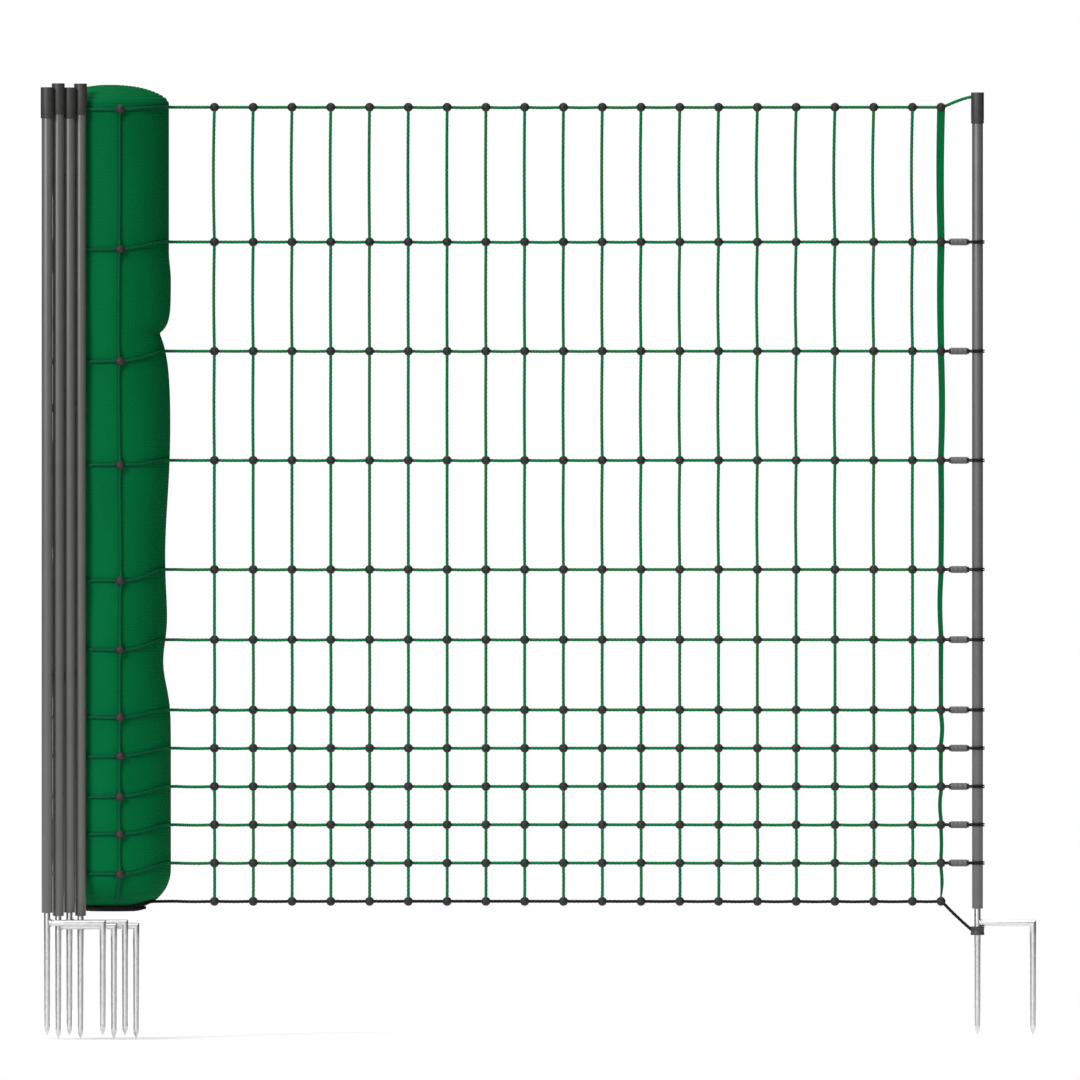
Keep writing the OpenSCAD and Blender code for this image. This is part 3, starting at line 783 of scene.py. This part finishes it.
def wrap_uprights():
    """Four uprights of the outermost layer. They rest on the roll between the strands."""
    ropes = []
    for number, a in enumerate(WRAP_COLUMNS):
        rows = np.array([ROW_Z[row] - WRAP_SAG[row] for row in range(1, TOP_ROW + 1)])
        z = np.linspace(rows[-1] + UPRIGHT_OVERRUN, EDGE_Z, 620)
        nearest = np.min(np.abs(z[:, None] - rows[None, :]), axis=1)
        off = ROPE_OFF + (WRAP_UPRIGHT_OFF - ROPE_OFF) * np.exp(-((nearest / (11 * MM)) ** 2))
        sway = a + 0.016 * np.sin(9 * z + number * 2) * np.sin(math.pi * (z - EDGE_Z) / (z[0] - EDGE_Z))
        side = around(roll_surface(sway, z) + off, sway, z)
        e = np.linspace(0, UPRIGHT_FOOT_ANGLE, 60)[1:]
        nearest = ROLL_EDGE * e - (EDGE_Z - rows[0])
        off = ROPE_OFF + (WRAP_UPRIGHT_OFF - ROPE_OFF) * np.exp(-((nearest / (11 * MM)) ** 2))
        foot = under_edge(off, a, e)
        path = resampled(np.concatenate([side, foot]), ROPE_STEP)
        across = (math.sin(a), math.cos(a), 0)
        ropes.append(swept("wrap", path, PLIES, across, ROPE_LAY, number * 2.1))
    dressed(joined("roll_uprights", ropes), "green_strand", "roll", "wrap_uprights")


# ---- Knots ----

def knot_shape():
    """A moulded ball with a mouth on each side for the strand and the upright."""
    ball = primitive(
        "uv_sphere", segments=12, ring_count=7, radius=KNOT_R / math.cos(math.pi / 12),
        rotation=(math.pi / 2, math.pi / 12, 0),
    )
    settle(ball)
    open_edit(ball)
    pick_faces(ball, lambda c, n: max(abs(n.x), abs(n.z)) > 0.98)
    bpy.ops.mesh.inset(thickness=0.5 * MM, use_individual=True)
    bpy.ops.mesh.extrude_region_shrink_fatten(TRANSFORM_OT_shrink_fatten={"value": -1.0 * MM})
    bpy.ops.mesh.select_all(action="SELECT")
    bpy.ops.mesh.normals_make_consistent(inside=False)
    close_edit()
    alone(ball)
    bpy.ops.object.shade_smooth_by_angle(angle=math.radians(48))
    return ball


def placed_copy(shape, place, turn, tilt):
    """A copy of a shape, tilted in its own plane, turned about the upright axis and put in place."""
    copy = copied(shape, "copy", (0, 0, 0))
    turned = Matrix.Rotation(turn, 4, "Z") @ Matrix.Rotation(tilt, 4, "Y")
    copy.data.transform(Matrix.Translation(place) @ turned)
    return copy


def knots(shape):
    tilt = math.radians(5)
    panel = [
        placed_copy(
            shape, (x, KNOT_Y, z), math.radians(4) * vary(column, row, 3), tilt * vary(column, row)
        )
        for column, x in enumerate(UPRIGHT_X) for row, z in enumerate(ROW_Z)
    ]
    dressed(joined("panel_knots", panel), "knot_plastic", "net_panel", "knots")
    end = [placed_copy(shape, (TAPE_X, KNOT_Y, z), 0, tilt * vary(row, 9)) for row, z in enumerate(ROW_Z)]
    dressed(joined("end_row_knots", end), "knot_plastic", "net_panel", "end_knots")
    on_roll = []
    for a in WRAP_COLUMNS:
        for row in range(1, TOP_ROW + 1):
            z = ROW_Z[row] - WRAP_SAG[row]
            place = around(roll_surface(a, z) + WRAP_KNOT_OFF, a, z)
            on_roll.append(placed_copy(shape, tuple(place), math.pi / 2 - a, tilt * vary(row, a)))
    dressed(joined("roll_knots", on_roll), "knot_plastic", "roll", "wrap_knots", finish=ROLL_KNOT_FINISH)


# ---- End tape ----

TAPE_TOP_W, TAPE_FOOT_W = 11.4 * MM, 4.6 * MM
TAPE_POINT = 24 * MM
TAPE_BOW = 1.6 * MM
# How thin the tape's two edges are, and how far they stand out past its flat faces
TAPE_EDGE_T = 0.22 * TAPE_T
TAPE_EDGE_OUT = 1.06


def end_tape():
    """Wide flat tape that narrows to the ground strand and wanders between its knots."""
    rings = []
    z = np.arange(ROW_Z[0], ROW_Z[TOP_ROW] + UPRIGHT_OVERRUN, 2.4 * MM)
    for height in z:
        row = min(TOP_ROW - 1, max(r for r in range(TOP_ROW + 1) if ROW_Z[r] <= height + 1e-9))
        low, high = ROW_Z[row] + KNOT_R, ROW_Z[row + 1] - KNOT_R
        t = min(1, max(0, (height - low) / (high - low)))
        wander = TAPE_BOW * math.sin(math.pi * t) * math.sin(math.radians(97 * row + 60))
        share = (height - ROW_Z[0]) / (ROW_Z[TOP_ROW] - ROW_Z[0])
        point = min(1, (height - ROW_Z[0]) / TAPE_POINT)
        width = (TAPE_FOOT_W + (TAPE_TOP_W - TAPE_FOOT_W) * share) * (0.35 + 0.65 * point)
        rings.append((TAPE_X + wander, height, width / 2))
    section = []
    for s in np.linspace(-1, 1, 9):
        section.append((s, -TAPE_T / 2 if abs(s) < 1 else -TAPE_EDGE_T))
    for s in np.linspace(1, -1, 9):
        section.append((s, TAPE_T / 2 if abs(s) < 1 else TAPE_EDGE_T))
    count = len(section)
    points, faces, uvs = [], [], []
    for x, height, half in rings:
        for s, y in section:
            edge = 1.0 if abs(s) < 1 else TAPE_EDGE_OUT
            points.append((x + s * half * edge / TAPE_EDGE_OUT, TAPE_Y + y, height))
    for i in range(len(rings) - 1):
        for k in range(count):
            nxt = (k + 1) % count
            faces.append((i * count + k, i * count + nxt, (i + 1) * count + nxt, (i + 1) * count + k))
            u0, u1 = section[k][0] / 2, section[nxt][0] / 2
            v0, v1 = rings[i][1], rings[i + 1][1]
            uvs += [(u0, v0), (u1, v0), (u1, v1), (u0, v1)]
    last = (len(rings) - 1) * count
    faces += [list(range(count - 1, -1, -1)), list(range(last, last + count))]
    uvs += [(0, 0)] * (2 * count)
    tape = mesh_piece("woven_end_tape", points, faces, uvs)
    alone(tape)
    bpy.ops.object.shade_smooth_by_angle(angle=math.radians(50))
    dressed(tape, "green_tape", "net_panel", "end_tape")


# ---- Leads, post loops and sleeves ----

def leads():
    top = [TAPE_X + 3 * MM, 0, ROW_Z[TOP_ROW] + 0.4 * MM]
    into_cap = [-CAP_R + 1.2 * MM, 0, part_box("end_cap")[1][2] - CAP_HEAD / 2]
    curve = bezier(
        top, [top[0] + 14 * MM, 0, top[2] + 6 * MM],
        [into_cap[0] - 14 * MM, 0, into_cap[2] - 2.4 * MM], into_cap, 80,
    )
    rope = swept("top_rope_lead", resampled(curve, ROPE_STEP), PLIES, (0, 1, 0), ROPE_LAY)
    dressed(rope, "green_strand", "net_panel", "top_lead")
    ring_low, ring_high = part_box("ground_ring")
    low = [TAPE_X + 3 * MM, 0, ROW_Z[0] - 2 * MM]
    into_ring = [ring_low[0] + 1.5 * MM, 0, ring_low[2] + 0.6 * (ring_high[2] - ring_low[2])]
    curve = bezier(
        low, [low[0] + 12 * MM, 0, low[2] - 13 * MM],
        [into_ring[0] - 14 * MM, 0, into_ring[2] + 12 * MM], into_ring, 80,
    )
    rope = swept("ground_rope_lead", resampled(curve, ROPE_STEP), PLIES, (0, 1, 0), ROPE_LAY)
    dressed(rope, "black_strand", "net_panel", "ground_lead")


CORD_R = 1.12 * MM
LOOP_R = 9.25 * MM


def post_loops():
    """Doubled cord: out of the knot, through the sleeve and round the post, one cord on the other."""
    loops = []
    for row in range(1, TOP_ROW):
        for side in (-1, 1):
            z = ROW_Z[row] + side * 1.15 * MM
            lead = [(x, 0, z) for x in np.linspace(TAPE_X + 3 * MM, -LOOP_R - 1.5 * MM, 30)]
            turn = np.linspace(math.radians(172), math.radians(-176), 60)
            lift = 0.25 * MM * side * np.sin(np.linspace(0, math.pi, 60))
            ring = [
                (LOOP_R * math.cos(a), -LOOP_R * math.sin(a), z + rise) for a, rise in zip(turn, lift)
            ]
            path = resampled(lead + ring, 1.1 * MM)
            loops.append(swept("loop", path, [CORD_R] * 8, (0, 0, 1), None, row * 0.05))
    dressed(joined("doubled_post_loops", loops), "black_cord", "net_panel", "post_loops")


def sleeve_shape():
    """A sleeve along X with a necked collar at each end and three shallow crimps."""
    low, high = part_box("loop_sleeves")
    length = high[0] - low[0]
    radius = half_size("loop_sleeves", 1)
    collar = 2.6 * MM
    middle_x = (low[0] + high[0]) / 2
    crimps = [middle_x + offset for offset in (-7 * MM, 0, 7 * MM)]
    sleeve = primitive(
        "cylinder", vertices=32, radius=radius, depth=length - 2 * collar,
        location=(middle_x, 0, 0), rotation=(0, math.pi / 2, 0),
    )
    settle(sleeve)
    open_edit(sleeve)
    pick_faces(sleeve, lambda c, n: abs(n.x) > 0.9)
    bpy.ops.mesh.inset(thickness=1.0 * MM, use_individual=True)
    bpy.ops.mesh.extrude_region_shrink_fatten(TRANSFORM_OT_shrink_fatten={"value": collar})
    for crimp in crimps:
        for edge in (-1.4 * MM, -0.5 * MM, 0.5 * MM, 1.4 * MM):
            cut((crimp + edge, 0, 0), (1, 0, 0))
    bpy.ops.mesh.select_mode(type="VERT")
    pick_verts(sleeve, lambda v: min(abs(v.x - crimp) for crimp in crimps) < 0.8 * MM)
    bpy.ops.transform.resize(value=(1, 0.965, 0.965), center_override=(middle_x, 0, 0))
    close_edit()
    return bevelled(sleeve, 0.5 * MM, 2, 50)


def sleeves():
    shape = sleeve_shape()
    parts = [copied(shape, "sleeve", (0, 0, ROW_Z[row])) for row in range(1, TOP_ROW)]
    bpy.data.objects.remove(shape)
    dressed(joined("crimped_sleeves", parts), "sleeve_metal", "net_panel", "loop_sleeves")


# ---- Roll ----

LAYER = 5.4 * MM


def roll_meridian():
    """Radius, height and how much of the outline's bulge applies, from the underside to the top."""
    line = []
    core = ROLL_R - ROLL_EDGE
    for share in np.linspace(0.08, 1, 8, endpoint=False):
        line.append(("under", share * core, ROLL_FOOT))
    for e in np.linspace(90, 0, 22, endpoint=False):
        line.append(("edge", math.radians(e), 0))
    for z in np.arange(EDGE_Z, DOME_Z, 3.6 * MM):
        line.append(("side", 0, z))
    for t in np.linspace(0, 1, 78, endpoint=False) ** 0.9:
        line.append(("dome", math.pi / 2 * t, 0))
    return line


def rolled_net():
    """The tight roll: rounded foot, uneven side with its fold, and layers that show on top."""
    segments = 144
    a = np.linspace(0, 2 * math.pi, segments, endpoint=False)
    rings = []
    for kind, value, z in roll_meridian():
        if kind == "under":
            rings.append(around(value, a, z + 0 * a))
        elif kind == "edge":
            rings.append(under_edge(0, a, value))
        elif kind == "side":
            rings.append(around(roll_surface(a, z), a, z))
        else:
            r = roll_surface(a, DOME_Z) * math.cos(value)
            layer = np.abs(np.sin(math.pi * r / LAYER - a / 2))
            drop = 1.8 * MM * (1 - layer) ** 1.5 * ease(value / 0.25)
            ripple = 0.5 * MM * np.sin(3 * a + 60 * r) * math.sin(2 * value)
            rings.append(around(r, a, DOME_Z + DOME_RISE * math.sin(value) - drop + ripple))
    points = np.concatenate(rings)
    count = len(rings)
    i, k = np.meshgrid(np.arange(count - 1), np.arange(segments), indexing="ij")
    i, k = i.ravel(), k.ravel()
    nxt = (k + 1) % segments
    n = segments
    quads = np.stack([i * n + k, (i + 1) * n + k, (i + 1) * n + nxt, i * n + nxt], axis=1)
    rise = np.concatenate([[0], np.cumsum([
        float(np.linalg.norm(np.mean(np.abs(rings[j + 1] - rings[j]), axis=0))) for j in range(count - 1)
    ])])
    girth = 2 * math.pi * ROLL_R
    near, far = girth * k / n, girth * (k + 1) / n
    uv = np.stack([near, rise[i], near, rise[i + 1], far, rise[i + 1], far, rise[i]], axis=1)
    last = (count - 1) * n
    ends = [list(range(n)), list(range(last + n - 1, last - 1, -1))]
    uvs = np.concatenate([uv.reshape(-1, 2), np.zeros((2 * n, 2))])
    roll = mesh_piece("tight_roll", points, quads.tolist() + ends, uvs)
    dressed(roll, "rolled_netting", "roll", "rolled_net")


# ---- Posts ----

def tube(name, node, body, x=0.0, y=0.0):
    """Extruded tube, open at both ends, with eased rims."""
    low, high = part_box(node)
    pipe = primitive(
        "cylinder", vertices=48, radius=TUBE_R, depth=high[2] - low[2], end_fill_type="NOTHING",
        location=(x, y, (low[2] + high[2]) / 2),
    )
    pipe.name = name
    settle(pipe)
    wall = pipe.modifiers.new("wall", "SOLIDIFY")
    wall.thickness = TUBE_WALL
    wall.offset = -1
    bpy.ops.object.modifier_apply(modifier=wall.name)
    bevelled(pipe, 0.4 * MM)
    dressed(pipe, "post_plastic", body, node)


def cap(name, node, body, x=0.0, y=0.0):
    """Moulded cap: closed head, bore for the tube, a lip at its mouth."""
    low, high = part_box(node)
    length = high[2] - low[2]
    piece = primitive(
        "cylinder", vertices=48, radius=CAP_R, depth=length, location=(x, y, (low[2] + high[2]) / 2)
    )
    piece.name = name
    settle(piece)
    open_edit(piece)
    pick_faces(piece, lambda c, n: n.z < -0.9)
    bpy.ops.mesh.inset(thickness=CAP_R - TUBE_R - 0.08 * MM)
    bpy.ops.mesh.extrude_region_move(TRANSFORM_OT_translate={"value": (0, 0, length - CAP_HEAD)})
    for level in (low[2] + 3.2 * MM, low[2] + 3.6 * MM, low[2] + 4.4 * MM, low[2] + 4.8 * MM):
        cut((x, y, level), (0, 0, 1))
    bpy.ops.mesh.select_mode(type="VERT")
    outer = CAP_R - 0.2 * MM
    groove = (low[2] + 3.4 * MM, low[2] + 4.6 * MM)
    pick_verts(
        piece,
        lambda v: groove[0] < v.z < groove[1] and math.hypot(v.x - x, v.y - y) > outer,
    )
    bpy.ops.transform.resize(value=(0.965, 0.965, 1), center_override=(x, y, 0))
    pick_faces(piece, lambda c, n: n.z > 0.9 and c.z > high[2] - 0.1 * MM)
    bpy.ops.mesh.inset(thickness=2.2 * MM)
    bpy.ops.transform.translate(value=(0, 0, -0.35 * MM))
    close_edit()
    bevelled(piece, 0.55 * MM, 3, 50)
    dressed(piece, "cap_plastic", body, node)


def pointed(piece, x, y, foot):
    """Cuts the end of a rod to a four-sided point."""
    steep = math.atan2(SPIKE_R, POINT_LENGTH)
    for side in range(4):
        turn = math.pi / 4 + side * math.pi / 2
        normal = (math.cos(turn) * math.cos(steep), math.sin(turn) * math.cos(steep), -math.sin(steep))
        cut((x, y, foot), normal, clear_outer=True, use_fill=True)


def ground_spike(name, node, body, soil, x=0.0, y=0.0):
    """Straight rod: full size in the tube, drawn down and pointed below the soil."""
    low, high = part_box(node)
    rod = primitive(
        "cylinder", vertices=32, radius=ROD_R, depth=high[2] - low[2],
        location=(x, y, (low[2] + high[2]) / 2),
    )
    rod.name = name
    settle(rod)
    open_edit(rod)
    for level in (soil, soil - TAPER, low[2] + ROUND_FROM):
        cut((x, y, level), (0, 0, 1))
    bpy.ops.mesh.select_mode(type="VERT")
    pick_verts(rod, lambda v: v.z < soil - TAPER / 2)
    bpy.ops.transform.resize(value=(SPIKE_R / ROD_R, SPIKE_R / ROD_R, 1), center_override=(x, y, 0))
    bpy.ops.mesh.select_mode(type="FACE")
    pointed(rod, x, y, low[2])
    close_edit()
    bevelled(rod, 0.25 * MM, 2, 25)
    dressed(rod, "galvanised_steel", body, node)


def step_spike(name, node, body, soil, x=0.0, y=0.0):
    """Rod from the shank, mitred at its corner and pointed, with the weld at the shank."""
    level = soil + STEP_Z
    foot = soil - SPIKE_DEPTH
    corner = (x + STEP_REACH, y, level)
    mitre = (1, 0, -1)
    begin = x + 0.75 * ROD_R
    across = primitive(
        "cylinder", vertices=32, radius=ROD_R, depth=corner[0] - begin + 2 * ROD_R,
        location=((begin + corner[0]) / 2 + ROD_R, y, level), rotation=(0, math.pi / 2, 0),
    )
    settle(across)
    open_edit(across)
    cut(corner, mitre, clear_outer=True)
    close_edit()
    down = primitive(
        "cylinder", vertices=32, radius=ROD_R, depth=level - foot + 2 * ROD_R,
        location=(corner[0], y, (level + foot) / 2 + ROD_R),
    )
    settle(down)
    open_edit(down)
    cut(corner, mitre, clear_inner=True)
    for height in (soil, soil - TAPER, foot + ROUND_FROM):
        cut((corner[0], y, height), (0, 0, 1))
    bpy.ops.mesh.select_mode(type="VERT")
    pick_verts(down, lambda v: v.z < soil - TAPER / 2)
    bpy.ops.transform.resize(
        value=(SPIKE_R / ROD_R, SPIKE_R / ROD_R, 1), center_override=(corner[0], y, 0)
    )
    bpy.ops.mesh.select_mode(type="FACE")
    pointed(down, corner[0], y, foot)
    close_edit()
    rod = joined(name, [across, down])
    open_edit(rod)
    bpy.ops.mesh.select_all(action="SELECT")
    bpy.ops.mesh.remove_doubles(threshold=0.02 * MM)
    close_edit()
    bevelled(rod, 0.5 * MM, 3, 38)
    weld = primitive(
        "torus", major_segments=36, minor_segments=10, major_radius=ROD_R + 0.1 * MM,
        minor_radius=1.2 * MM, location=(x + ROD_R + 0.9 * MM, y, level), rotation=(0, math.pi / 2, 0),
    )
    settle(weld)
    open_edit(weld, "VERT")
    bpy.ops.mesh.select_all(action="SELECT")
    bpy.ops.transform.vertex_random(offset=0.22 * MM, uniform=0.3, seed=7)
    close_edit()
    bpy.ops.object.shade_smooth()
    rod = joined(name, [rod, weld])
    dressed(rod, "galvanised_steel", body, node)


def ground_ring():
    """Ring on the end post's shank, waisted a little between its two rims."""
    low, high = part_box("ground_ring")
    radius, height = half_size("ground_ring", 0), high[2] - low[2]
    bore = ROD_R + 0.4 * MM
    ring = primitive(
        "cylinder", vertices=48, radius=radius, depth=height, location=(0, 0, (low[2] + high[2]) / 2)
    )
    settle(ring)
    open_edit(ring)
    pick_faces(ring, lambda c, n: abs(n.z) > 0.9)
    bpy.ops.mesh.inset(thickness=radius - bore, use_individual=True)
    bpy.ops.mesh.bridge_edge_loops()
    for share in (0.2, 0.3, 0.7, 0.8):
        cut((0, 0, low[2] + share * height), (0, 0, 1))
    bpy.ops.mesh.select_mode(type="VERT")
    waist = (low[2] + 0.25 * height, low[2] + 0.75 * height)
    pick_verts(ring, lambda v: waist[0] < v.z < waist[1] and math.hypot(v.x, v.y) > radius - 1 * MM)
    bpy.ops.transform.resize(value=(0.95, 0.95, 1), center_override=(0, 0, 0))
    close_edit()
    bevelled(ring, 0.5 * MM, 2, 40)
    ring.name = "ground_clip_ring"
    dressed(ring, "cap_plastic", "net_panel", "ground_ring")


def posts():
    tube("end_post_tube", "end_tube", "end_post")
    cap("end_post_cap", "end_cap", "net_panel")
    ground_spike("end_shank", "end_ground_spike", "end_post", 0.0)
    step_spike("end_step", "end_step_spike", "end_post", 0.0)
    for number, post in enumerate(POSTS, 1):
        x, y = middle(post + "_tube", 0), middle(post + "_tube", 1)
        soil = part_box(post + "_ground_spike")[0][2] + SPIKE_DEPTH
        body = "stored_post_%d" % number
        tube("stored_tube_%d" % number, post + "_tube", body, x, y)
        cap("stored_cap_%d" % number, post + "_cap", body, x, y)
        ground_spike("stored_shank_%d" % number, post + "_ground_spike", body, soil, x, y)
        step_spike("stored_step_%d" % number, post + "_step_spike", body, soil, x, y)


def carried_over():
    """The plugs and the post clips keep their CAD shapes and get their finish."""
    for node, piece in frame["nodes"].items():
        if "plug" in node or "clip" in node:
            slot = "clip_plastic" if "clip" in node else "cap_plastic"
            piece.data.materials.clear()
            piece.data.materials.append(FINISHES[slot])


camera()
studio()
floor()
strands()
uprights()
wrap_uprights()
knot = knot_shape()
knots(knot)
bpy.data.objects.remove(knot)
end_tape()
leads()
post_loops()
sleeves()
rolled_net()
ground_ring()
posts()
carried_over()
